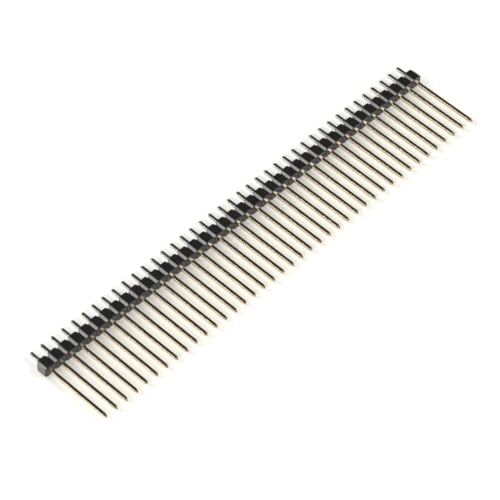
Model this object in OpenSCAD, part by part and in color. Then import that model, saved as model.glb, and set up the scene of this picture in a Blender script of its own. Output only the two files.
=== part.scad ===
// Breakaway pin header strip: one row of square pins held in a moulded insulator.
// It lies on its side, as it does on a bench: the row runs along X, the long posts
// point to -Y and the short tails to +Y. The origin is on the surface that the strip
// lies on, under the middle of its outline.

/* [Row] */
// Number of pins in the row
pin_count = 40; // [2:1:59]
// Distance from one pin to the next
pitch = 2.54; // [2:0.01:5.08]

/* [Pins] */
// Width and height of the square wire
pin_w = 0.64; // [0.45:0.01:0.8]
// Length of the tail that goes through the board, from the insulator's board face
tail_len = 2.9; // [1.5:0.05:8]
// Length of the post that a socket slides over, from the insulator's post face
post_len = 14.35; // [4:0.05:25]
// Length of the point at the end of the tail
tail_point_len = 0.4; // [0.1:0.05:1]
// Length of the point at the end of the post
post_point_len = 0.6; // [0.1:0.05:1.5]
// Width of the blunt end of each point
point_w = 0.3; // [0.1:0.01:0.4]

/* [Insulator] */
// Length of the insulator along the pins, from post face to board face
body_len = 2.54; // [1.5:0.01:4]
// Height of the insulator above the surface it lies on
body_h = 2.5; // [2:0.01:4]
// Width of each sloping side of the break grooves in the top and the underside
side_groove_flank = 0.52; // [0.1:0.01:0.65]
// Depth of the break grooves in the top and the underside
side_groove_depth = 0.4; // [0.1:0.01:0.7]
// Width of each sloping side of the break grooves in the board face
board_groove_flank = 0.45; // [0.1:0.01:0.5]
// Depth of the break grooves in the board face
board_groove_depth = 0.45; // [0.1:0.01:0.6]
// Width of each sloping side of the break grooves in the post face
post_groove_flank = 0.15; // [0.05:0.01:0.4]
// Depth of the break grooves in the post face
post_groove_depth = 0.15; // [0.05:0.01:0.4]

/* [Fit] */
// Gap all round each pin in its hole, which is nil for a pressed-in pin
pin_gap = 0; // [0:0.005:0.05]

/* [Hidden] */
pin_len = tail_len + body_len + post_len;
row_len = pin_count * pitch;
// Middle of the insulator along the pins
body_y = pin_len / 2 - tail_len - body_len / 2;
// Height of the pins' centre line
pin_z = body_h / 2;

function pin_x(i) = (i - (pin_count - 1) / 2) * pitch;
function pin_name(i) = str("pin_", i < 9 ? "0" : "", i + 1);

// One long edge of a row of cells, `full` from the row's centre line, with a notch
// between cells that is `depth` deep
function row_edge(full, depth, flank) = [
    for (i = [0 : pin_count - 1])
        each [
            [pin_x(i) - pitch / 2, full - depth],
            [pin_x(i) - pitch / 2 + flank, full],
            [pin_x(i) + pitch / 2 - flank, full]
        ],
    [row_len / 2, full - depth]
];

// An edge on the other side of the centre line, running back along the row
function opposite(edge) = [
    for (i = [len(edge) - 1 : -1 : 0]) [edge[i].x, -edge[i].y]
];

// The row seen along the pins
module row_end_view() {
    side = row_edge(body_h / 2, side_groove_depth, side_groove_flank);
    polygon(concat(side, opposite(side)));
}

// The row seen from above
module row_top_view() {
    board_side = row_edge(body_len / 2, board_groove_depth, board_groove_flank);
    post_side = row_edge(body_len / 2, post_groove_depth, post_groove_flank);
    polygon(concat(board_side, opposite(post_side)));
}

// Cells joined by webs that are grooved all round
module grooved_bar() {
    intersection() {
        rotate([90, 0, 0]) linear_extrude(2 * body_len, center = true) row_end_view();
        linear_extrude(2 * body_h, center = true) row_top_view();
    }
}

module insulator() {
    hole_w = pin_w + 2 * pin_gap;
    color([0.11, 0.11, 0.10])
    translate([0, body_y, pin_z])
    difference() {
        grooved_bar();
        for (i = [0 : pin_count - 1])
            translate([pin_x(i), 0, 0]) cube([hole_w, 2 * body_len, hole_w], center = true);
    }
}

// Outline of one side of a pin, with the post's blunt end at the bottom
module pin_outline() {
    half = pin_w / 2;
    blunt = point_w / 2;
    end = pin_len / 2;
    polygon([
        [-blunt, -end], [blunt, -end],
        [half, post_point_len - end], [half, end - tail_point_len],
        [blunt, end], [-blunt, end],
        [-half, end - tail_point_len], [-half, post_point_len - end]
    ]);
}

// Square wire cut to a four-sided point at both ends
module pin(i) {
    color([0.80, 0.72, 0.50])
    translate([pin_x(i), 0, pin_z])
    intersection() {
        linear_extrude(2 * pin_w, center = true) pin_outline();
        rotate([0, 90, 0]) linear_extrude(2 * pin_w, center = true) pin_outline();
    }
}

insulator();
for (i = [0 : pin_count - 1])
    pin(i);
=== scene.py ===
"""Looks of a breakaway pin header strip: one row of square pins in a grooved insulator.

The strip lies on its side. X runs along the row, the long posts point to -Y, the short
tails point to +Y, and Z is up. Sizes are in millimetres in the dataclasses and are
turned into metres, with MM, where a mesh, a material or the camera is made. The studio's
lamps and floor are in metres.
"""

import logging
import math
from dataclasses import dataclass, field
from enum import Enum
from typing import Iterable

import bmesh
import bpy
from mathutils import Matrix, Vector, noise


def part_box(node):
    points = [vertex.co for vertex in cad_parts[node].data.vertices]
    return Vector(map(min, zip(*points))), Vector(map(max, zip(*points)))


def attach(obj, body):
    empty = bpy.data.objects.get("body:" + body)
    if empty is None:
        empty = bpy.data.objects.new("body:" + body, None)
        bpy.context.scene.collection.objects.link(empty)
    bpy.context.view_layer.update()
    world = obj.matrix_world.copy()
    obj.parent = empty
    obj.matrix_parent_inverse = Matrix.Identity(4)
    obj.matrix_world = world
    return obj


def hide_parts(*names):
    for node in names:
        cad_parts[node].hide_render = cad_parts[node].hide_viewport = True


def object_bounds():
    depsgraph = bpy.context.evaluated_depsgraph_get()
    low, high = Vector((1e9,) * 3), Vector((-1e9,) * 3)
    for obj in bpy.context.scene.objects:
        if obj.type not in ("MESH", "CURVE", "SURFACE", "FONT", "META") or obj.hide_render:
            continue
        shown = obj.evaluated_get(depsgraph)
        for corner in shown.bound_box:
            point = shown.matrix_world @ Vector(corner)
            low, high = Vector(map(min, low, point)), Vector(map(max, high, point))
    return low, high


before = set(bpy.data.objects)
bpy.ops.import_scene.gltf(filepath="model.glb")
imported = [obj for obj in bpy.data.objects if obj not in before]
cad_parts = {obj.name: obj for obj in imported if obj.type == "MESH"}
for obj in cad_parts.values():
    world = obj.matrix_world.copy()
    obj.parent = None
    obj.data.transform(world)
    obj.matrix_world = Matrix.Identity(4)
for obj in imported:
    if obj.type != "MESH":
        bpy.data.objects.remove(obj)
CAD_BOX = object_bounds()

MM = 0.001
BODY = "root"
INSULATOR_NODE = "insulator"
PIN_NODES = sorted(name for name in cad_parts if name.startswith("pin_"))

Colour = tuple[float, float, float, float]
Signal = bpy.types.NodeSocket | float | Colour
WHITE: Colour = (1.0, 1.0, 1.0, 1.0)

log = logging.getLogger("pin_header_strip")


# ---------------------------------------------------------------- small helpers


def link(obj: bpy.types.Object) -> bpy.types.Object:
    """Puts an object into the scene and returns it."""
    bpy.context.scene.collection.objects.link(obj)
    return obj


def object_from_bmesh(name: str, bm: bmesh.types.BMesh) -> bpy.types.Object:
    """Turns a bmesh into a linked object.

    Args:
        name: Name of the object and of its mesh.
        bm: The shape, which is freed here.

    Returns:
        The new object, at the origin.
    """
    mesh = bpy.data.meshes.new(name)
    bm.to_mesh(mesh)
    bm.free()
    return link(bpy.data.objects.new(name, mesh))


def plain_mesh_object(source: bpy.types.Object, name: str) -> bpy.types.Object:
    """Turns what an object's modifiers make into a plain mesh object.

    Args:
        source: The object with live modifiers, which is removed.
        name: Name of the new object and of its mesh.

    Returns:
        A linked object with no modifiers, at the origin.
    """
    bpy.context.view_layer.update()
    depsgraph = bpy.context.evaluated_depsgraph_get()
    mesh = bpy.data.meshes.new_from_object(
        source.evaluated_get(depsgraph), preserve_all_data_layers=True, depsgraph=depsgraph
    )
    mesh.name = name
    bpy.data.objects.remove(source)
    return link(bpy.data.objects.new(name, mesh))


class SocketKind(Enum):
    """Kinds of named input or output on a node group."""

    GEOMETRY = "NodeSocketGeometry"
    INTEGER = "NodeSocketInt"
    NUMBER = "NodeSocketFloat"
    MATERIAL = "NodeSocketMaterial"


class Nodes:
    """Adds and joins nodes in one node tree."""

    def __init__(self, tree: bpy.types.NodeTree) -> None:
        """Keeps the tree that the nodes go into."""
        self.tree = tree

    def feed(self, value: Signal, socket: bpy.types.NodeSocket) -> None:
        """Joins an output socket to an input socket, or sets the input to a plain value.

        Args:
            value: The output socket or the value.
            socket: The input socket.
        """
        if isinstance(value, bpy.types.NodeSocket):
            self.tree.links.new(value, socket)
        else:
            socket.default_value = value

    def add(
        self, kind: str, inputs: dict[str | int, Signal] | None = None, **settings: object
    ) -> bpy.types.Node:
        """Adds a node.

        Args:
            kind: Blender's name for the node's class.
            inputs: Value or output socket for each input, by its name or its number.
            **settings: Properties of the node itself, which are set before its inputs.

        Returns:
            The new node.
        """
        node = self.tree.nodes.new(kind)
        for key, value in settings.items():
            setattr(node, key, value)
        for key, value in (inputs or {}).items():
            self.feed(value, node.inputs[key])
        return node

    def math(self, operation: str, *terms: Signal, clamp: bool = False) -> bpy.types.NodeSocket:
        """Adds a Math node.

        Args:
            operation: Blender's name for what the node does.
            *terms: The numbers or output sockets that it works on.
            clamp: Whether the result is kept from 0 to 1.

        Returns:
            The result.
        """
        node = self.add("ShaderNodeMath", dict(enumerate(terms)), operation=operation)
        node.use_clamp = clamp
        return node.outputs[0]

    def mix_colour(self, factor: Signal, first: Signal, second: Signal) -> bpy.types.NodeSocket:
        """Adds a mix of two colours.

        Args:
            factor: Share of the second colour, from 0 to 1.
            first: The colour at 0.
            second: The colour at 1.

        Returns:
            The mixed colour.
        """
        mixed = self.add("ShaderNodeMix", {0: factor, 6: first, 7: second}, data_type="RGBA")
        return mixed.outputs[2]

    def remap(
        self, value: Signal, low: float, high: float, out_low: float = 0.0, out_high: float = 1.0
    ) -> bpy.types.NodeSocket:
        """Adds a clamped Map Range.

        Args:
            value: The value to map.
            low: The value that gives out_low.
            high: The value that gives out_high.
            out_low: Result at low and past it.
            out_high: Result at high and past it.

        Returns:
            The mapped value.
        """
        limits = {"From Min": low, "From Max": high, "To Min": out_low, "To Max": out_high}
        return self.add("ShaderNodeMapRange", {"Value": value, **limits}).outputs["Result"]

    def spots(
        self, coords: bpy.types.NodeSocket, size: bpy.types.NodeSocket, **settings: float
    ) -> bpy.types.NodeSocket:
        """Adds a noise texture.

        Args:
            coords: Where the texture is read.
            size: Size of one spot, in the units of coords.
            **settings: Values of the texture's other inputs, by their names.

        Returns:
            The noise, which is about 0.5 on average.
        """
        inputs = {"Vector": coords, "Scale": self.math("DIVIDE", 1.0, size), **settings}
        return self.add("ShaderNodeTexNoise", inputs).outputs[0]

    def place(self) -> bpy.types.NodeSocket:
        """Adds the piece's own coordinates, in metres, and returns them."""
        return self.add("ShaderNodeTexCoord").outputs["Object"]


def new_group(
    name: str,
    kind: str,
    inputs: Iterable[tuple[str, SocketKind, object]],
    outputs: Iterable[tuple[str, SocketKind]],
) -> tuple[bpy.types.NodeTree, Nodes, bpy.types.Node, bpy.types.Node]:
    """Makes an empty node group with named inputs and outputs.

    Args:
        name: Name of the group.
        kind: ShaderNodeTree or GeometryNodeTree.
        inputs: Name, kind and default of each input.
        outputs: Name and kind of each output.

    Returns:
        The group, a Nodes helper for it, its input node and its output node.
    """
    tree = bpy.data.node_groups.new(name, kind)
    for label, socket_kind, default in inputs:
        socket = tree.interface.new_socket(label, in_out="INPUT", socket_type=socket_kind.value)
        if default is not None:
            socket.default_value = default
    for label, socket_kind in outputs:
        tree.interface.new_socket(label, in_out="OUTPUT", socket_type=socket_kind.value)
    nodes = Nodes(tree)
    return tree, nodes, nodes.add("NodeGroupInput"), nodes.add("NodeGroupOutput")


def new_material(name: str) -> tuple[bpy.types.Material, Nodes, bpy.types.Node]:
    """Makes a material.

    Args:
        name: Name of the material.

    Returns:
        The material, a Nodes helper for its tree, and its Principled BSDF.
    """
    made = bpy.data.materials.new(name)
    made.use_nodes = True
    return made, Nodes(made.node_tree), made.node_tree.nodes["Principled BSDF"]


def run_geometry_tree(
    base: bpy.types.Object, tree: bpy.types.NodeTree, values: dict[str, object], name: str
) -> bpy.types.Object:
    """Runs a Geometry Nodes tree on an object and keeps the result as a plain mesh.

    Args:
        base: The object that the tree starts from, which is removed.
        tree: The Geometry Nodes tree.
        values: Value of each named input, with the material among them.
        name: Name of the new object.

    Returns:
        The new object, with no modifiers.
    """
    modifier = base.modifiers.new(tree.name, "NODES")
    modifier.node_group = tree
    sockets = {
        item.name: item.identifier
        for item in tree.interface.items_tree
        if item.item_type == "SOCKET" and item.in_out == "INPUT"
    }
    for label, value in values.items():
        modifier[sockets[label]] = value
    made = plain_mesh_object(base, name)
    made.data.materials.clear()
    made.data.materials.append(values["Material"])
    made.data.polygons.foreach_set("material_index", [0] * len(made.data.polygons))
    return made


# -------------------------------------------------------------- shader node groups


class ShaderGroups:
    """The surface effects that the finishes use, each built once."""

    def __init__(self) -> None:
        """Builds every group."""
        self.grain = self._grain()
        self.drawn_lines = self._drawn_lines()
        self.handling = self._handling()

    @staticmethod
    def _grain() -> bpy.types.NodeTree:
        """Builds the fine grain of a tool-finished or torn surface.

        Returns:
            A group with a Height and a Tone output, both from 0 to 1.
        """
        tree, nodes, start, end = new_group(
            "surface_grain",
            "ShaderNodeTree",
            [
                ("Grain Size", SocketKind.NUMBER, 0.00005),
                ("Blotch Size", SocketKind.NUMBER, 0.0006),
            ],
            [("Height", SocketKind.NUMBER), ("Tone", SocketKind.NUMBER)],
        )
        place = nodes.place()
        fine = nodes.spots(place, start.outputs["Grain Size"], Detail=2.0, Roughness=0.6)
        broad = nodes.spots(place, start.outputs["Blotch Size"], Detail=3.0, Roughness=0.55)
        tree.links.new(fine, end.inputs["Height"])
        tree.links.new(nodes.remap(broad, 0.3, 0.7), end.inputs["Tone"])
        return tree

    @staticmethod
    def _drawn_lines() -> bpy.types.NodeTree:
        """Builds the fine lines that a drawing die leaves along a wire.

        Returns:
            A group with a Lines output, from 0 to 1.
        """
        tree, nodes, start, end = new_group(
            "drawn_lines",
            "ShaderNodeTree",
            [
                ("Line Width", SocketKind.NUMBER, 0.00003),
                ("Line Length", SocketKind.NUMBER, 0.004),
            ],
            [("Lines", SocketKind.NUMBER)],
        )
        parts = nodes.add("ShaderNodeSeparateXYZ", {0: nodes.place()}).outputs
        width, length = start.outputs["Line Width"], start.outputs["Line Length"]
        sizes = {"X": width, "Y": length, "Z": width}
        stretched = nodes.add(
            "ShaderNodeCombineXYZ",
            {axis: nodes.math("DIVIDE", parts[axis], size) for axis, size in sizes.items()},
        )
        lines = nodes.add(
            "ShaderNodeTexNoise",
            {"Vector": stretched.outputs[0], "Scale": 1.0, "Detail": 2.0, "Roughness": 0.5},
        )
        tree.links.new(nodes.remap(lines.outputs[0], 0.3, 0.7), end.inputs["Lines"])
        return tree

    @staticmethod
    def _handling() -> bpy.types.NodeTree:
        """Builds the smudges and fine dust that handling and storage leave.

        Returns:
            A group with a Smudge and a Dust output, both from 0 to 1.
        """
        tree, nodes, start, end = new_group(
            "handling",
            "ShaderNodeTree",
            [
                ("Smudge Size", SocketKind.NUMBER, 0.004),
                ("Dust Size", SocketKind.NUMBER, 0.0001),
            ],
            [("Smudge", SocketKind.NUMBER), ("Dust", SocketKind.NUMBER)],
        )
        place = nodes.place()
        smudge = nodes.spots(
            place, start.outputs["Smudge Size"], Detail=4.0, Roughness=0.6, Distortion=0.4
        )
        specks = nodes.add(
            "ShaderNodeTexVoronoi",
            {"Vector": place, "Scale": nodes.math("DIVIDE", 1.0, start.outputs["Dust Size"])},
        )
        speck_radius = 0.16
        tree.links.new(nodes.remap(smudge, 0.45, 0.7), end.inputs["Smudge"])
        tree.links.new(
            nodes.remap(specks.outputs["Distance"], 0.0, speck_radius, 1.0, 0.0), end.inputs["Dust"]
        )
        return tree


@dataclass(frozen=True)
class MouldedPlastic:
    """Black glass-filled plastic, straight from the mould and snapped off at its ends."""

    colour: Colour = (0.0150, 0.0148, 0.0138, 1.0)
    pale_colour: Colour = (0.0190, 0.0188, 0.0176, 1.0)
    snapped_colour: Colour = (0.255, 0.253, 0.242, 1.0)
    torn_colour: Colour = (0.140, 0.139, 0.132, 1.0)
    # Lighter colour used for dust, and on rounded edges partly as wear and partly as a painted
    # highlight along them.
    dust_wear_and_highlight_colour: Colour = (0.045, 0.045, 0.042, 1.0)
    edge_wear_and_highlight_share: float = 0.5
    dust_share: float = 0.35
    smooth_roughness: float = 0.13
    dull_roughness: float = 0.19
    smudge_roughness: float = 0.05
    snapped_roughness: float = 0.62
    grain_mm: float = 0.045
    grain_depth_mm: float = 0.0010
    snapped_grain: float = 8.0
    blotch_mm: float = 0.7
    ior: float = 1.50

    def material(self, groups: ShaderGroups) -> bpy.types.Material:
        """Builds the material, which reads the masks "edge" and "snapped" from the mesh.

        Args:
            groups: The shared shader groups.

        Returns:
            The material.
        """
        made, nodes, shader = new_material("black_moulded_plastic")
        sizes = {"Grain Size": self.grain_mm * MM, "Blotch Size": self.blotch_mm * MM}
        grain = nodes.add("ShaderNodeGroup", sizes, node_tree=groups.grain).outputs
        handling = nodes.add("ShaderNodeGroup", node_tree=groups.handling).outputs
        edge = nodes.add("ShaderNodeAttribute", attribute_name="edge").outputs["Fac"]
        snapped = nodes.add("ShaderNodeAttribute", attribute_name="snapped").outputs["Fac"]

        body = nodes.mix_colour(grain["Tone"], self.colour, self.pale_colour)
        # Rounded edges are painted lighter in patches: partly wear, partly a painted highlight
        # standing in for the glint along each edge.
        patchy_wear_and_highlight = nodes.remap(grain["Tone"], 0.45, 0.9, 0.0, self.edge_wear_and_highlight_share)
        body = nodes.mix_colour(nodes.math("MULTIPLY", edge, patchy_wear_and_highlight), body, self.dust_wear_and_highlight_colour)
        dust = nodes.math("MULTIPLY", handling["Dust"], self.dust_share)
        body = nodes.mix_colour(dust, body, self.dust_wear_and_highlight_colour)
        mottle = nodes.remap(grain["Height"], 0.35, 0.65)
        torn = nodes.mix_colour(mottle, self.torn_colour, self.snapped_colour)
        nodes.feed(nodes.mix_colour(snapped, body, torn), shader.inputs["Base Color"])

        rough = nodes.remap(grain["Tone"], 0.0, 1.0, self.smooth_roughness, self.dull_roughness)
        smudged = nodes.math("MULTIPLY", handling["Smudge"], self.smudge_roughness)
        lifted = nodes.math("MULTIPLY", snapped, self.snapped_roughness - self.smooth_roughness)
        rough = nodes.math("ADD", nodes.math("ADD", rough, smudged), lifted, clamp=True)
        nodes.feed(rough, shader.inputs["Roughness"])

        coarser = nodes.math("ADD", 1.0, nodes.math("MULTIPLY", snapped, self.snapped_grain))
        height = nodes.math("MULTIPLY", grain["Height"], coarser)
        relief = {"Height": height, "Distance": self.grain_depth_mm * MM, "Strength": 1.0}
        bump = nodes.add("ShaderNodeBump", relief)
        nodes.feed(bump.outputs["Normal"], shader.inputs["Normal"])
        shader.inputs["IOR"].default_value = self.ior
        return made


@dataclass(frozen=True)
class PlatedWire:
    """Drawn square wire with a thin gold flash on the posts and bright tin on the tails."""

    gold: Colour = (0.74, 0.63, 0.44, 1.0)
    gold_thin: Colour = (0.67, 0.59, 0.44, 1.0)
    tin: Colour = (0.66, 0.66, 0.63, 1.0)
    bare: Colour = (0.26, 0.22, 0.17, 1.0)
    thin_share: float = 0.6
    bare_share: float = 0.9
    gold_roughness: float = 0.15
    tin_roughness: float = 0.20
    line_roughness: float = 0.05
    smudge_roughness: float = 0.06
    cut_roughness: float = 0.15
    plating_blend_mm: float = 0.1
    cut_blend_mm: float = 0.01
    line_mm: float = 0.03
    line_length_mm: float = 3.5
    line_depth_mm: float = 0.0009

    def material(
        self, groups: ShaderGroups, plating_line: float, cut_from: float
    ) -> bpy.types.Material:
        """Builds the material.

        Args:
            groups: The shared shader groups.
            plating_line: Y in metres at which gold gives way to tin.
            cut_from: Distance from the strip's middle, in metres, past which the sheared
                end is bare.

        Returns:
            The material.
        """
        made, nodes, shader = new_material("plated_wire")
        sizes = {"Line Width": self.line_mm * MM, "Line Length": self.line_length_mm * MM}
        lines = nodes.add("ShaderNodeGroup", sizes, node_tree=groups.drawn_lines).outputs["Lines"]
        smudge = nodes.add("ShaderNodeGroup", node_tree=groups.handling).outputs["Smudge"]
        along = nodes.add("ShaderNodeSeparateXYZ", {0: nodes.place()}).outputs["Y"]
        blend = self.plating_blend_mm * MM
        tinned = nodes.remap(along, plating_line - blend, plating_line + blend)
        from_middle = nodes.math("ABSOLUTE", along)
        sheared = nodes.remap(from_middle, cut_from - self.cut_blend_mm * MM, cut_from)

        gold = nodes.mix_colour(lines, self.gold, self.gold_thin)
        thin = nodes.math("MULTIPLY", smudge, self.thin_share)
        gold = nodes.mix_colour(thin, gold, self.gold_thin)
        metal = nodes.mix_colour(tinned, gold, self.tin)
        cut = nodes.math("MULTIPLY", sheared, self.bare_share)
        metal = nodes.mix_colour(cut, metal, self.bare)
        nodes.feed(metal, shader.inputs["Base Color"])

        rough = nodes.remap(tinned, 0.0, 1.0, self.gold_roughness, self.tin_roughness)
        for mask, lift in (
            (lines, self.line_roughness),
            (smudge, self.smudge_roughness),
            (sheared, self.cut_roughness),
        ):
            rough = nodes.math("ADD", rough, nodes.math("MULTIPLY", mask, lift))
        nodes.feed(rough, shader.inputs["Roughness"])

        relief = {"Height": lines, "Distance": self.line_depth_mm * MM, "Strength": 1.0}
        bump = nodes.add("ShaderNodeBump", relief)
        nodes.feed(bump.outputs["Normal"], shader.inputs["Normal"])
        shader.inputs["Metallic"].default_value = 1.0
        return made


# ----------------------------------------------------------------- the row's trees


def row_tree() -> bpy.types.NodeTree:
    """Builds the tree that repeats one piece along the row.

    Returns:
        A tree whose inputs are the piece, the count, the pitch, how far a copy may sit
        off its place along Y or turn about Y, the seed, the welding distance and the
        material.
    """
    tree, nodes, start, end = new_group(
        "row_along_x",
        "GeometryNodeTree",
        [
            ("Geometry", SocketKind.GEOMETRY, None),
            ("Count", SocketKind.INTEGER, 1),
            ("Pitch", SocketKind.NUMBER, 0.0),
            ("Slip", SocketKind.NUMBER, 0.0),
            ("Roll", SocketKind.NUMBER, 0.0),
            ("Seed", SocketKind.INTEGER, 1),
            ("Weld", SocketKind.NUMBER, 0.0),
            ("Material", SocketKind.MATERIAL, None),
        ],
        [("Geometry", SocketKind.GEOMETRY)],
    )
    given = start.outputs

    def vector(**parts: Signal) -> bpy.types.NodeSocket:
        """Joins X, Y and Z, each nil where it isn't given, into a vector."""
        return nodes.add("ShaderNodeCombineXYZ", parts).outputs[0]

    def either_way(limit: Signal, seed: Signal) -> bpy.types.NodeSocket:
        """Draws a number for each copy.

        Args:
            limit: How far from nil the number may be, either way.
            seed: Seed of the draw.

        Returns:
            The number.
        """
        range_and_seed = {2: nodes.math("MULTIPLY", limit, -1.0), 3: limit, "Seed": seed}
        drawn = nodes.add("FunctionNodeRandomValue", range_and_seed, data_type="FLOAT")
        return drawn.outputs[1]

    gaps = nodes.math("SUBTRACT", given["Count"], 1.0)
    first_x = nodes.math("MULTIPLY", nodes.math("MULTIPLY", gaps, given["Pitch"]), -0.5)
    line = nodes.add(
        "GeometryNodeMeshLine",
        {
            "Count": given["Count"],
            "Start Location": vector(X=first_x),
            "Offset": vector(X=given["Pitch"]),
        },
    )
    copies = nodes.add(
        "GeometryNodeInstanceOnPoints", {"Points": line.outputs[0], "Instance": given["Geometry"]}
    )
    slip = either_way(given["Slip"], given["Seed"])
    roll = either_way(given["Roll"], nodes.math("ADD", given["Seed"], 1.0))
    turned = nodes.add(
        "GeometryNodeRotateInstances", {"Instances": copies.outputs[0], "Rotation": vector(Y=roll)}
    )
    moved = nodes.add(
        "GeometryNodeTranslateInstances",
        {"Instances": turned.outputs[0], "Translation": vector(Y=slip)},
    )
    real = nodes.add("GeometryNodeRealizeInstances", {0: moved.outputs[0]})
    welded = nodes.add(
        "GeometryNodeMergeByDistance", {"Geometry": real.outputs[0], "Distance": given["Weld"]}
    )
    dressed = nodes.add(
        "GeometryNodeSetMaterial", {"Geometry": welded.outputs[0], "Material": given["Material"]}
    )
    tree.links.new(dressed.outputs[0], end.inputs["Geometry"])
    return tree


def wire_tree() -> bpy.types.NodeTree:
    """Builds the tree that draws a square wire along a path.

    Returns:
        A tree whose inputs are the path, with the attribute "scale" on its points, the
        wire's width, the radius of its long edges, the number of points on each edge's
        rounding and the material.
    """
    tree, nodes, start, end = new_group(
        "square_wire",
        "GeometryNodeTree",
        [
            ("Geometry", SocketKind.GEOMETRY, None),
            ("Width", SocketKind.NUMBER, 0.00064),
            ("Edge Radius", SocketKind.NUMBER, 0.00005),
            ("Edge Steps", SocketKind.INTEGER, 3),
            ("Material", SocketKind.MATERIAL, None),
        ],
        [("Geometry", SocketKind.GEOMETRY)],
    )
    given = start.outputs
    path = nodes.add("GeometryNodeMeshToCurve", {"Mesh": given["Geometry"]})
    size = nodes.add("GeometryNodeInputNamedAttribute", {"Name": "scale"}, data_type="FLOAT")
    square = nodes.add(
        "GeometryNodeCurvePrimitiveQuadrilateral",
        {"Width": given["Width"], "Height": given["Width"]},
    )
    rounded = nodes.add(
        "GeometryNodeFilletCurve",
        {"Curve": square.outputs[0], "Radius": given["Edge Radius"], "Count": given["Edge Steps"]},
        mode="POLY",
    )
    swept = nodes.add(
        "GeometryNodeCurveToMesh",
        {
            "Curve": path.outputs[0],
            "Profile Curve": rounded.outputs[0],
            "Scale": size.outputs["Attribute"],
            "Fill Caps": True,
        },
    )
    smooth = nodes.add("GeometryNodeSetShadeSmooth", {"Geometry": swept.outputs[0]})
    real = nodes.add("GeometryNodeRealizeInstances", {0: smooth.outputs[0]})
    dressed = nodes.add(
        "GeometryNodeSetMaterial", {"Geometry": real.outputs[0], "Material": given["Material"]}
    )
    tree.links.new(dressed.outputs[0], end.inputs["Geometry"])
    return tree


def even_normals(obj: bpy.types.Object, name: str) -> bpy.types.Object:
    """Shades a piece smooth with each flat face kept flat.

    Args:
        obj: The piece, which is removed.
        name: Name of the new piece.

    Returns:
        The same shape with normals weighted by the area of its faces.
    """
    obj.data.shade_smooth()
    weighted = obj.modifiers.new("weighted_normals", "WEIGHTED_NORMAL")
    weighted.mode = "FACE_AREA"
    weighted.weight = 100
    weighted.keep_sharp = True
    return plain_mesh_object(obj, name)


# ---------------------------------------------------------------------- insulator


@dataclass(frozen=True)
class BreakGroove:
    """One side of the V groove between two cells, in millimetres."""

    flank: float
    depth: float

    def start(self, half_cell: float) -> float:
        """Distance from the cell's middle at which the face begins to fall away."""
        return half_cell - self.flank

    def fall(self, x: float, half_cell: float, top_blend: float, foot_blend: float) -> float:
        """How far the surface lies below the face.

        Args:
            x: Distance along the row from the cell's middle.
            half_cell: Half the pitch.
            top_blend: Half the length of the rounding where the flank begins.
            foot_blend: Half the length of the rounding at the groove's foot.

        Returns:
            The depth at x.
        """
        slope = self.depth / self.flank
        along = abs(x) - self.start(half_cell)
        if along <= -top_blend:
            return 0.0
        if along < top_blend:
            return slope * (along + top_blend) ** 2 / (4 * top_blend)
        to_foot = half_cell - abs(x)
        lifted = max(0.0, foot_blend - to_foot) ** 2 / (2 * foot_blend)
        return slope * (along - lifted)


@dataclass(frozen=True)
class TornFace:
    """The rough face that is left where a web has been snapped, in millimetres."""

    depth: float = 0.030
    level: float = 1.2
    swell: float = 1.1
    swells_per_mm: float = 1.1
    tear: float = 0.75
    tears_per_mm: float = 4.0
    fineness: tuple[float, float, int] = (0.5, 2.2, 3)
    rim_rings: tuple[float, ...] = (0.99, 0.95, 0.89)
    ring_count: int = 9
    ring_step: float = 0.09
    cuts: int = 2

    def rings(self) -> list[float]:
        """Size of each ring of points within the face, as a share of its outline."""
        return [*self.rim_rings, *(self.ring_step * k for k in range(self.ring_count, 0, -1))]

    def depth_at(self, spot: Vector) -> float:
        """How far the face lies below the end of the row.

        Args:
            spot: A place on the face, in millimetres.

        Returns:
            The depth in millimetres, which is never less than nothing.
        """
        swell = noise.noise(spot * self.swells_per_mm)
        torn = noise.fractal(spot * self.tears_per_mm, *self.fineness)
        return self.depth * max(0.0, self.level + self.swell * swell + self.tear * torn)


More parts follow.
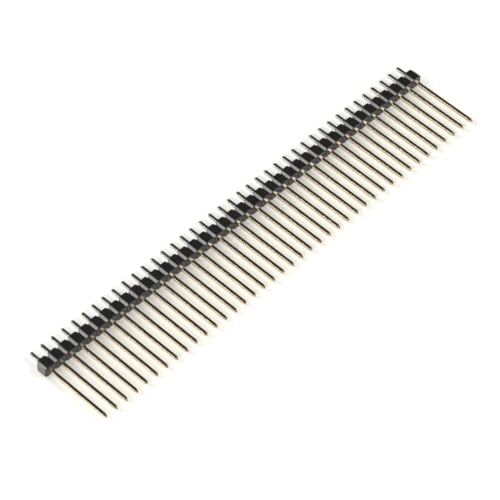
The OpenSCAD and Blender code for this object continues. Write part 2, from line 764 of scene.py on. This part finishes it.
@dataclass
class Insulator:
    """The moulded insulator: a row of cells joined by grooved webs, snapped off at both ends."""

    groups: ShaderGroups
    rows: bpy.types.NodeTree
    finish: MouldedPlastic = field(default_factory=MouldedPlastic)
    cells: int = len(PIN_NODES)
    side_groove: BreakGroove = BreakGroove(flank=0.52, depth=0.40)
    board_groove: BreakGroove = BreakGroove(flank=0.45, depth=0.45)
    post_groove: BreakGroove = BreakGroove(flank=0.15, depth=0.15)
    edge_radius: float = 0.07
    edge_steps: int = 3
    top_blend: float = 0.05
    foot_blend: float = 0.04
    flat_from: float = 0.06
    hole_half: float = 0.325
    hole_chamfer: float = 0.06
    torn: TornFace = TornFace()
    closest: float = 0.012
    same_place: float = 0.0001
    weld: float = 0.001

    def __post_init__(self) -> None:
        """Reads the outer sizes from the CAD node."""
        low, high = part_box(INSULATOR_NODE)
        size, self.centre = (high - low) / MM, (high + low) / 2
        self.half_cell = size.x / self.cells / 2
        self.half_length = size.y / 2
        self.half_height = size.z / 2

    def stations(self) -> list[float]:
        """Finds the places along one cell at which its outline changes.

        Returns:
            The places in order, in millimetres from the cell's middle.
        """
        mouth = self.hole_half + self.hole_chamfer
        marks = {self.hole_half, mouth, self.half_cell - self.foot_blend, self.half_cell}
        for groove in (self.side_groove, self.board_groove, self.post_groove):
            start = groove.start(self.half_cell)
            marks.update((start - self.top_blend, start, start + self.top_blend))
        kept: list[float] = []
        for mark in sorted(m for m in marks if m <= self.half_cell):
            if kept and mark - kept[-1] < self.closest and mark != self.half_cell:
                continue
            kept.append(mark)
        return [-m for m in reversed(kept)] + kept

    def outline(self, x: float) -> list[tuple[float, float, float]]:
        """Outline of the cell across the row.

        Args:
            x: Place along the cell, in millimetres.

        Returns:
            Y, Z and the edge mask of each point, once round from the foot of the board face.
        """
        blends = (self.half_cell, self.top_blend, self.foot_blend)
        height = self.half_height - self.side_groove.fall(x, *blends)
        board = self.half_length - self.board_groove.fall(x, *blends)
        post = -self.half_length + self.post_groove.fall(x, *blends)
        r = self.edge_radius
        flats = (board - r - self.flat_from, post + r + self.flat_from)
        mouth = self.hole_half + self.hole_chamfer
        inner = (-mouth, -self.hole_half, self.hole_half, mouth)
        top = [(y, height, 0.0) for y in flats]
        post_face = [(post, z, 0.0) for z in reversed(inner)]
        underside = [(y, -height, 0.0) for y in reversed(flats)]
        corners = (
            (board - r, height - r, top),
            (post + r, height - r, post_face),
            (post + r, r - height, underside),
            (board - r, r - height, []),
        )
        points = [(board, z, 0.0) for z in inner]
        for quarter, (y, z, next_face) in enumerate(corners):
            for step in range(self.edge_steps + 1):
                turn = math.radians(90) * (quarter + step / self.edge_steps)
                mask = 1.0 if 0 < step < self.edge_steps else 0.5
                points.append((y + r * math.cos(turn), z + r * math.sin(turn), mask))
            points.extend(next_face)
        return points

    def cell(self) -> bpy.types.Object:
        """Builds one cell, open at both sides, with its square hole and the hole's chamfers.

        Returns:
            The cell, centred on the origin, with the attribute "edge" on its points.
        """
        bm = bmesh.new()
        edge = bm.verts.layers.float.new("edge")
        stations = self.stations()
        rings = []
        for x in stations:
            on_slope_edge = any(
                abs(abs(x) - groove.start(self.half_cell)) < self.closest
                for groove in (self.side_groove, self.board_groove)
            )
            ring = []
            for y, z, mask in self.outline(x):
                vert = bm.verts.new((x * MM, y * MM, z * MM))
                # Points on the ridge where a groove's slope begins get half the edge mask, so the
                # material paints a lighter line there as a painted highlight, partly wear.
                vert[edge] = max(mask, 0.5 if on_slope_edge else 0.0)
                ring.append(vert)
            rings.append(ring)
        count = len(rings[0])
        # The board face's hole follows its second point. Four points of that face, two
        # roundings and the top's two points come before the post face's own points.
        board_hole = 1
        post_hole = 6 + 2 * (self.edge_steps + 1) + 1
        mouths: dict[int, list[bmesh.types.BMVert]] = {}
        limit = self.hole_half + self.same_place
        for index in range(len(stations) - 1):
            in_hole = abs(stations[index]) < limit and abs(stations[index + 1]) < limit
            for k in range(count):
                n = (k + 1) % count
                this_ring, next_ring = rings[index], rings[index + 1]
                corners = [this_ring[k], this_ring[n], next_ring[n], next_ring[k]]
                if in_hole and k in (board_hole, post_hole):
                    mouths[k] = corners
                    continue
                bm.faces.new(corners)
        board, post = mouths[board_hole], mouths[post_hole]
        self.sink(board, -self.hole_chamfer)
        self.sink(post, self.hole_chamfer)

        def place(vert: bmesh.types.BMVert) -> tuple[float, float]:
            """Place of a point on its face, to a thousandth of a millimetre."""
            return round(vert.co.x / MM, 3), round(vert.co.z / MM, 3)

        by_place = {place(vert): vert for vert in post}
        for k, a in enumerate(board):
            b = board[(k + 1) % len(board)]
            bm.faces.new([a, b, by_place[place(b)], by_place[place(a)]])
        bmesh.ops.recalc_face_normals(bm, faces=bm.faces)
        return object_from_bmesh("insulator_cell", bm)

    @staticmethod
    def sink(mouth: list[bmesh.types.BMVert], distance: float) -> None:
        """Moves a hole's rim into the face round it, which makes a sharp-edged chamfer.

        Args:
            mouth: The rim's four points.
            distance: How far they move along Y, in millimetres.
        """
        for vert in mouth:
            vert.co.y += distance * MM
            for face in vert.link_faces:
                for rim in face.edges:
                    rim.smooth = False

    def close_ends(self, obj: bpy.types.Object) -> None:
        """Closes both ends of the row with the rough face of a snapped web.

        Args:
            obj: The row of cells, centred on the origin and open at its two ends.
        """
        bm = bmesh.new()
        bm.from_mesh(obj.data)
        snapped = bm.verts.layers.float.new("snapped")
        for side in (-1.0, 1.0):
            rim = [e for e in bm.edges if e.is_boundary and e.verts[0].co.x * side > 0]
            loop = self.ordered(rim)
            centre = sum((v.co for v in loop), Vector()) / len(loop)
            caps, last = [], loop
            for scale in self.torn.rings():
                ring = [bm.verts.new(centre + (v.co - centre) * scale) for v in loop]
                for k, vert in enumerate(ring):
                    n = (k + 1) % len(ring)
                    caps.append(bm.faces.new([last[k], last[n], ring[n], vert]))
                last = ring
            hub = bm.verts.new(centre)
            for k, vert in enumerate(last):
                caps.append(bm.faces.new([vert, last[(k + 1) % len(last)], hub]))
            inner = list(dict.fromkeys(e for f in caps for e in f.edges if e not in rim))
            bmesh.ops.subdivide_edges(bm, edges=inner, cuts=self.torn.cuts, use_grid_fill=True)
            for edge in rim:
                edge.smooth = False
            rim_verts = {v for e in rim for v in e.verts}
            plane = centre.x
            for vert in bm.verts:
                if abs(vert.co.x - plane) < self.same_place * MM and vert not in rim_verts:
                    vert[snapped] = 1.0
                    spot = Vector((plane, vert.co.y, vert.co.z)) / MM
                    vert.co.x -= side * self.torn.depth_at(spot) * MM
        bmesh.ops.recalc_face_normals(bm, faces=bm.faces)
        bm.to_mesh(obj.data)
        bm.free()

    @staticmethod
    def ordered(edges: list[bmesh.types.BMEdge]) -> list[bmesh.types.BMVert]:
        """Walks a closed loop of edges.

        Args:
            edges: The loop's edges, in any order.

        Returns:
            The loop's points, in order.
        """
        loop = [edges[0].verts[0], edges[0].verts[1]]
        remaining = set(edges[1:])
        while remaining:
            edge = next(e for e in loop[-1].link_edges if e in remaining)
            remaining.discard(edge)
            nxt = edge.other_vert(loop[-1])
            if nxt is not loop[0]:
                loop.append(nxt)
        return loop

    def build(self) -> bpy.types.Object:
        """Builds, dresses and places the insulator.

        Returns:
            The finished piece, riding on the strip's body.
        """
        row = run_geometry_tree(
            self.cell(),
            self.rows,
            {
                "Count": self.cells,
                "Pitch": 2 * self.half_cell * MM,
                "Weld": self.weld * MM,
                "Material": self.finish.material(self.groups),
            },
            "insulator_row",
        )
        self.close_ends(row)
        row.data.transform(Matrix.Translation(self.centre))
        piece = even_normals(row, "insulator_moulding")
        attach(piece, BODY)
        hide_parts(INSULATOR_NODE)
        return piece


# --------------------------------------------------------------------------- pins


@dataclass
class PinRow:
    """The row of pins: square wire with a long post and a short tail, pointed at both ends."""

    groups: ShaderGroups
    rows: bpy.types.NodeTree
    wires: bpy.types.NodeTree
    finish: PlatedWire = field(default_factory=PlatedWire)
    pitch: float = 2.54
    post_point: float = 0.60
    tail_point: float = 0.40
    blunt_width: float = 0.30
    blunt_edge: float = 0.025
    edge_radius: float = 0.055
    edge_steps: int = 3
    shoulder_blend: float = 0.05
    post_marks: tuple[float, ...] = (4.0, 9.0)
    tail_marks: tuple[float, ...] = (3.5,)
    slip: float = 0.03
    roll: float = 0.6
    seed: int = 7
    weld: float = 0.0001

    def __post_init__(self) -> None:
        """Reads the wire's width, length and height above the floor from the CAD nodes."""
        low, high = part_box(PIN_NODES[0])
        size, self.centre = (high - low) / MM, (high + low) / 2
        self.width = size.x
        self.half_length = size.y / 2

    def path(self) -> bpy.types.Object:
        """Builds the pin's centre line, with the width at each place as a scale.

        Returns:
            A chain of points from the post's blunt end to the tail's.
        """
        stations: list[tuple[float, float]] = []
        blunt = self.blunt_width / self.width
        sides = (
            (-1.0, self.post_point, self.post_marks),
            (1.0, self.tail_point, self.tail_marks),
        )
        for side, point, plain_marks in sides:
            slope = (1 - blunt) / point
            b = self.shoulder_blend
            marks = [
                (0.0, blunt - 2 * self.blunt_edge / self.width),
                (self.blunt_edge, blunt + slope * self.blunt_edge),
                (3 * self.blunt_edge, blunt + slope * 3 * self.blunt_edge),
                (point - 2 * b, 1 - slope * 2 * b),
                (point - b, 1 - slope * b),
                (point, 1 - slope * b / 4),
                (point + b, 1.0),
            ]
            marks += [(along, 1.0) for along in plain_marks]
            stations += [(side * (self.half_length - along), scale) for along, scale in marks]
        stations.sort()
        mesh = bpy.data.meshes.new("pin_path")
        points = [(0.0, y * MM, 0.0) for y, _ in stations]
        mesh.from_pydata(points, [(k, k + 1) for k in range(len(points) - 1)], [])
        scale = mesh.attributes.new("scale", "FLOAT", "POINT")
        scale.data.foreach_set("value", [s for _, s in stations])
        return link(bpy.data.objects.new("pin_path", mesh))

    def build(self) -> bpy.types.Object:
        """Builds, dresses and places the pins.

        Returns:
            The finished row, riding on the strip's body.
        """
        low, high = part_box(INSULATOR_NODE)
        cut_from = (self.half_length - 0.5 * self.blunt_edge) * MM
        material = self.finish.material(self.groups, (low.y + high.y) / 2, cut_from)
        wire = run_geometry_tree(
            self.path(),
            self.wires,
            {
                "Width": self.width * MM,
                "Edge Radius": self.edge_radius * MM,
                "Edge Steps": self.edge_steps,
                "Material": material,
            },
            "pin_wire",
        )
        row = run_geometry_tree(
            wire,
            self.rows,
            {
                "Count": len(PIN_NODES),
                "Pitch": self.pitch * MM,
                "Slip": self.slip * MM,
                "Roll": math.radians(self.roll),
                "Seed": self.seed,
                "Weld": self.weld * MM,
                "Material": material,
            },
            "pin_row",
        )
        row.data.transform(Matrix.Translation((0.0, self.centre.y, self.centre.z)))
        piece = even_normals(row, "pins")
        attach(piece, BODY)
        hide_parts(*PIN_NODES)
        return piece


# ------------------------------------------------------------------------- studio


def seen_rays(nodes: Nodes) -> bpy.types.NodeSocket:
    """Adds a mask of the rays by which the stage is seen, straight or in metal.

    Args:
        nodes: The material's or the world's nodes.

    Returns:
        1 for a ray that shows the stage and 0 for a ray that lights something.
    """
    path = nodes.add("ShaderNodeLightPath").outputs
    mirrored = nodes.math("MAXIMUM", path["Is Glossy Ray"], path["Is Transmission Ray"])
    return nodes.math("MAXIMUM", path["Is Camera Ray"], mirrored)


@dataclass(frozen=True)
class SoftBox:
    """A soft lamp: where it stands in the sky above the strip, in degrees and metres.

    Its size is its width and height.
    """

    name: str
    azimuth: float
    elevation: float
    distance: float
    size: tuple[float, float]
    radiance: float

    def build(self) -> bpy.types.Object:
        """Builds the lamp, facing the middle of the strip.

        Returns:
            The lamp, which the camera doesn't see.
        """
        turn, rise = math.radians(self.azimuth), math.radians(self.elevation)
        level = math.cos(rise)
        towards = Vector((math.cos(turn) * level, math.sin(turn) * level, math.sin(rise)))
        lamp = bpy.data.lights.new(self.name, "AREA")
        lamp.shape = "RECTANGLE"
        lamp.size, lamp.size_y = self.size
        lamp.energy = self.radiance * math.pi * self.size[0] * self.size[1]
        obj = link(bpy.data.objects.new(self.name, lamp))
        obj.location = towards * self.distance
        obj.rotation_euler = towards.to_track_quat("Z", "Y").to_euler()
        obj.visible_camera = False
        return obj


@dataclass(frozen=True)
class ViewPoint:
    """The main camera: where it looks from, how it is tilted and how long its lens is."""

    azimuth: float = -49.23
    elevation: float = 51.40
    roll: float = 3.65
    distance: float = 466.3
    aside: float = -1.864
    above: float = -3.305
    lens: float = 179.7
    sensor: float = 36.0
    nearest: float = 10.0
    farthest: float = 20000.0

    def build(self, origin: Vector) -> bpy.types.Object:
        """Builds the camera and makes it the scene's.

        Args:
            origin: The point, in metres, that the offsets aside and above start from.

        Returns:
            The camera.
        """
        a, e, roll = map(math.radians, (self.azimuth, self.elevation, self.roll))
        back = Vector((math.sin(a) * math.cos(e), -math.cos(a) * math.cos(e), math.sin(e)))
        level = Vector((math.cos(a), math.sin(a), 0.0))
        upright = back.cross(level)
        right = level * math.cos(roll) + upright * math.sin(roll)
        up = upright * math.cos(roll) - level * math.sin(roll)
        data = bpy.data.cameras.new("camera")
        data.lens, data.sensor_width = self.lens, self.sensor
        data.clip_start, data.clip_end = self.nearest * MM, self.farthest * MM
        camera = link(bpy.data.objects.new("camera", data))
        place = origin + (right * self.aside + up * self.above + back * self.distance) * MM
        turned = Matrix((right, up, back)).transposed().to_4x4()
        turned.translation = place
        camera.matrix_world = turned
        bpy.context.scene.camera = camera
        return camera


@dataclass
class Studio:
    """The pale floor, the white surround, the soft lamps and the camera."""

    lamps: tuple[SoftBox, ...] = (
        SoftBox("overhead_soft_box", 180.0, 68.0, distance=0.80, size=(0.40, 0.40), radiance=1.3),
        SoftBox("near_soft_box", 323.0, 49.5, distance=1.20, size=(0.36, 0.34), radiance=12.5),
        SoftBox("groove_soft_box", 147.0, 42.0, distance=0.80, size=(0.22, 0.32), radiance=8.6),
        SoftBox("back_soft_box", 101.0, 31.0, distance=0.60, size=(0.50, 0.20), radiance=5.1),
        SoftBox("low_soft_box", 300.0, 15.0, distance=0.70, size=(0.60, 0.20), radiance=2.6),
        SoftBox("front_soft_box", 265.0, 36.0, distance=0.70, size=(0.50, 0.26), radiance=2.1),
        SoftBox("end_soft_box", 172.0, 15.0, distance=0.60, size=(0.30, 0.16), radiance=5.2),
    )
    surround: Colour = (0.05, 0.05, 0.05, 1.0)
    backdrop_top: float = 12.0
    backdrop_fade: float = 1.25
    floor_colour: Colour = (0.86, 0.85, 0.82, 1.0)
    floor_roughness: float = 0.9
    floor_glow: Colour = (1.0, 0.97, 0.90, 1.0)
    floor_lift: float = 0.27
    floor_size: float = 3.0
    pool_edge: tuple[float, float] = (0.20, 0.60)
    view: ViewPoint = field(default_factory=ViewPoint)

    def build_world(self) -> None:
        """Builds the surround: a low white backdrop for the camera and the metal, dim above it."""
        world = bpy.data.worlds.new("surround")
        bpy.context.scene.world = world
        world.use_nodes = True
        nodes = Nodes(world.node_tree)
        direction = nodes.add("ShaderNodeTexCoord").outputs["Generated"]
        upward = nodes.add("ShaderNodeSeparateXYZ", {0: direction}).outputs["Z"]
        top = math.sin(math.radians(self.backdrop_top))
        low = nodes.remap(upward, top, self.backdrop_fade * top, 1.0, 0.0)
        shown = nodes.math("MULTIPLY", low, seen_rays(nodes))
        shade = world.node_tree.nodes["Background"]
        nodes.feed(nodes.mix_colour(shown, self.surround, WHITE), shade.inputs["Color"])

    def build_floor(self) -> bpy.types.Object:
        """Builds the floor that the strip lies on, which turns plain white far from it.

        Returns:
            The floor.
        """
        bm = bmesh.new()
        bmesh.ops.create_grid(bm, x_segments=1, y_segments=1, size=self.floor_size / 2)
        floor = object_from_bmesh("floor", bm)
        made, nodes, shader = new_material("pale_floor")
        shader.inputs["Base Color"].default_value = self.floor_colour
        shader.inputs["Roughness"].default_value = self.floor_roughness
        shader.inputs["Specular IOR Level"].default_value = 0.0
        away = nodes.add("ShaderNodeVectorMath", {0: nodes.place()}, operation="LENGTH")
        far = nodes.remap(away.outputs["Value"], *self.pool_edge)
        nodes.feed(nodes.mix_colour(far, self.floor_glow, WHITE), shader.inputs["Emission Color"])
        lift = nodes.remap(far, 0.0, 1.0, self.floor_lift, 1.0)
        strength = nodes.math("MULTIPLY", seen_rays(nodes), lift)
        nodes.feed(strength, shader.inputs["Emission Strength"])
        floor.data.materials.append(made)
        return floor

    def build(self) -> None:
        """Builds the whole studio."""
        self.build_world()
        self.build_floor()
        for lamp in self.lamps:
            lamp.build()
        low, high = CAD_BOX
        self.view.build(Vector((0.0, 0.0, (low.z + high.z) / 2)))
        bpy.context.scene.view_settings.view_transform = "Standard"


# --------------------------------------------------------------------------- main


def report(piece: bpy.types.Object) -> None:
    """Logs a piece's name and how many triangles it has."""
    piece.data.calc_loop_triangles()
    log.info("%s: %d triangles", piece.name, len(piece.data.loop_triangles))


def main() -> None:
    """Builds the strip and the studio, in order."""
    logging.basicConfig(level=logging.INFO, format="%(name)s: %(message)s")
    groups = ShaderGroups()
    rows = row_tree()
    report(Insulator(groups, rows).build())
    report(PinRow(groups, rows, wire_tree()).build())
    Studio().build()


if __name__ == "__main__":
    main()
